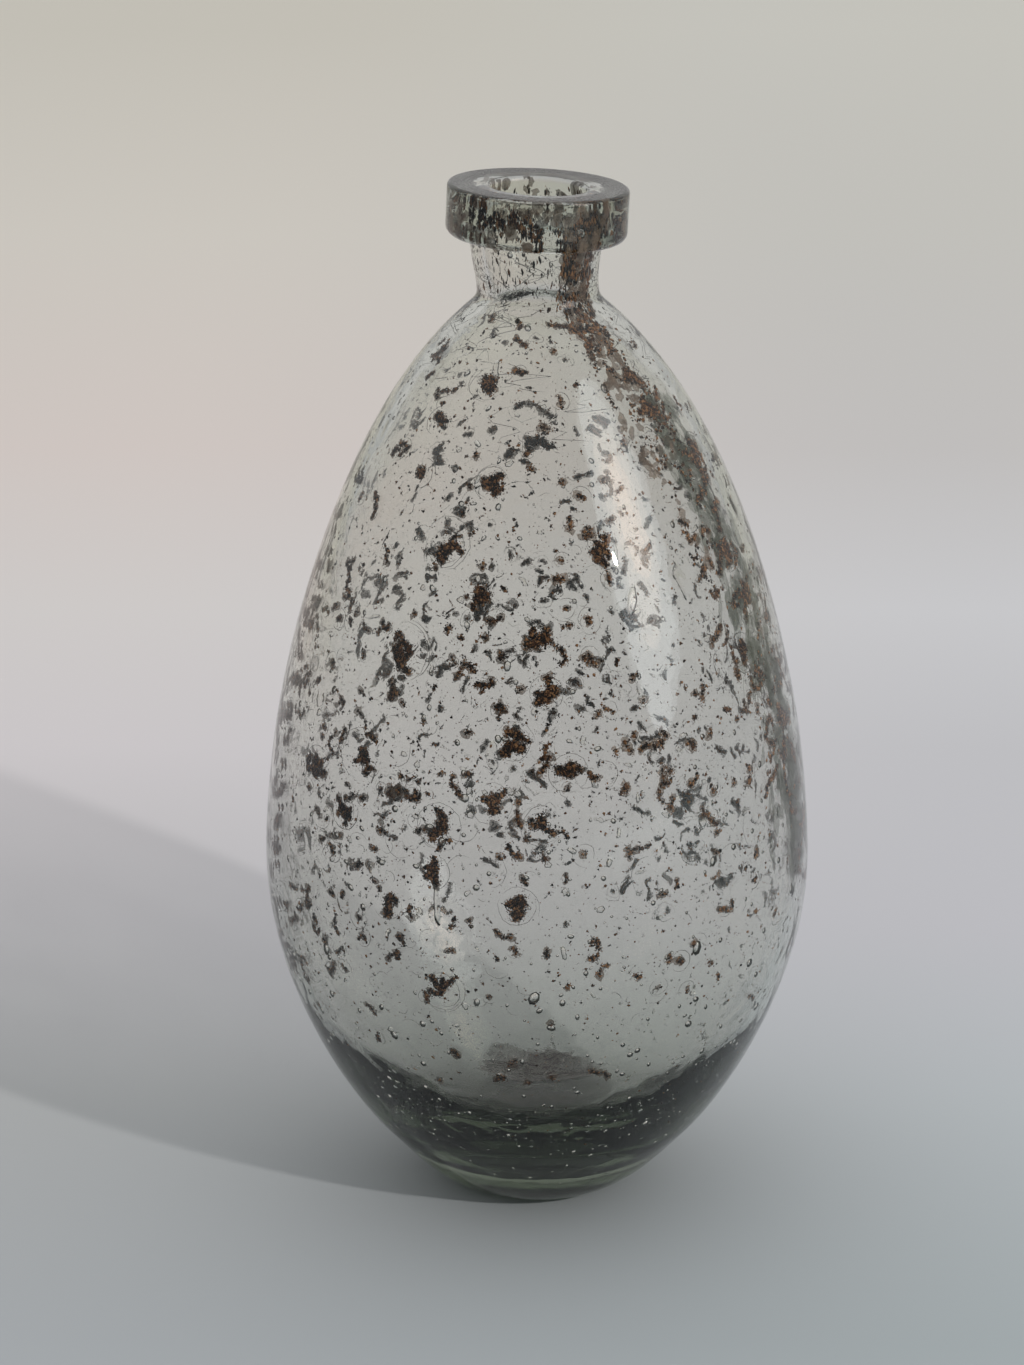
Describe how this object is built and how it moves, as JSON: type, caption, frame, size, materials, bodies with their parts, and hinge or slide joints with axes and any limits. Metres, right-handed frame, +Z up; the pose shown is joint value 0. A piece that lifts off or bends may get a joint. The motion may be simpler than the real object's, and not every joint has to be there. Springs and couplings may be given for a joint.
{
  "type": "hand-blown bottle vase",
  "caption": "Egg-shaped hand-blown bottle of clear seeded glass speckled with dark oxide, with a short neck, a thick disc lip and a heavy base.",
  "frame": {"origin": "centre of the foot, on the surface the bottle stands on", "axes": "+Z up along the bottle's axis, -Y towards the front, +X to the right, where the tilted lip is lowest"},
  "size_m": [0.1704, 0.1704, 0.3212],
  "materials": {
    "casing_glass": "fire-polished, faintly teal where it is thick",
    "gather_glass": "fire-polished, smoky, full of seed bubbles and fine brown speckle",
    "lip_glass": "fire-polished, darker green-grey through its thickness",
    "oxide": "matt, rough, near-black with rust-brown edges"
  },
  "bodies": {
    "root": {"casing": "casing_glass", "inner_gather": "gather_glass", "lip_collar": "lip_glass", "chip_01": "oxide", "chip_02": "oxide", "chip_03": "oxide", "chip_04": "oxide", "chip_05": "oxide", "chip_06": "oxide", "chip_07": "oxide", "chip_08": "oxide", "chip_09": "oxide", "chip_10": "oxide", "chip_11": "oxide", "chip_12": "oxide", "chip_13": "oxide", "chip_14": "oxide", "chip_15": "oxide", "chip_16": "oxide", "chip_17": "oxide", "chip_18": "oxide", "chip_19": "oxide", "chip_20": "oxide", "chip_21": "oxide", "chip_22": "oxide", "chip_23": "oxide", "chip_24": "oxide", "chip_25": "oxide", "chip_26": "oxide", "chip_27": "oxide", "chip_28": "oxide", "chip_29": "oxide", "chip_30": "oxide", "chip_31": "oxide", "chip_32": "oxide", "chip_33": "oxide", "chip_34": "oxide", "chip_35": "oxide", "chip_36": "oxide", "chip_37": "oxide", "chip_38": "oxide", "chip_39": "oxide", "chip_40": "oxide", "chip_41": "oxide", "chip_42": "oxide", "chip_43": "oxide", "chip_44": "oxide"}
  },
  "joints": []
}
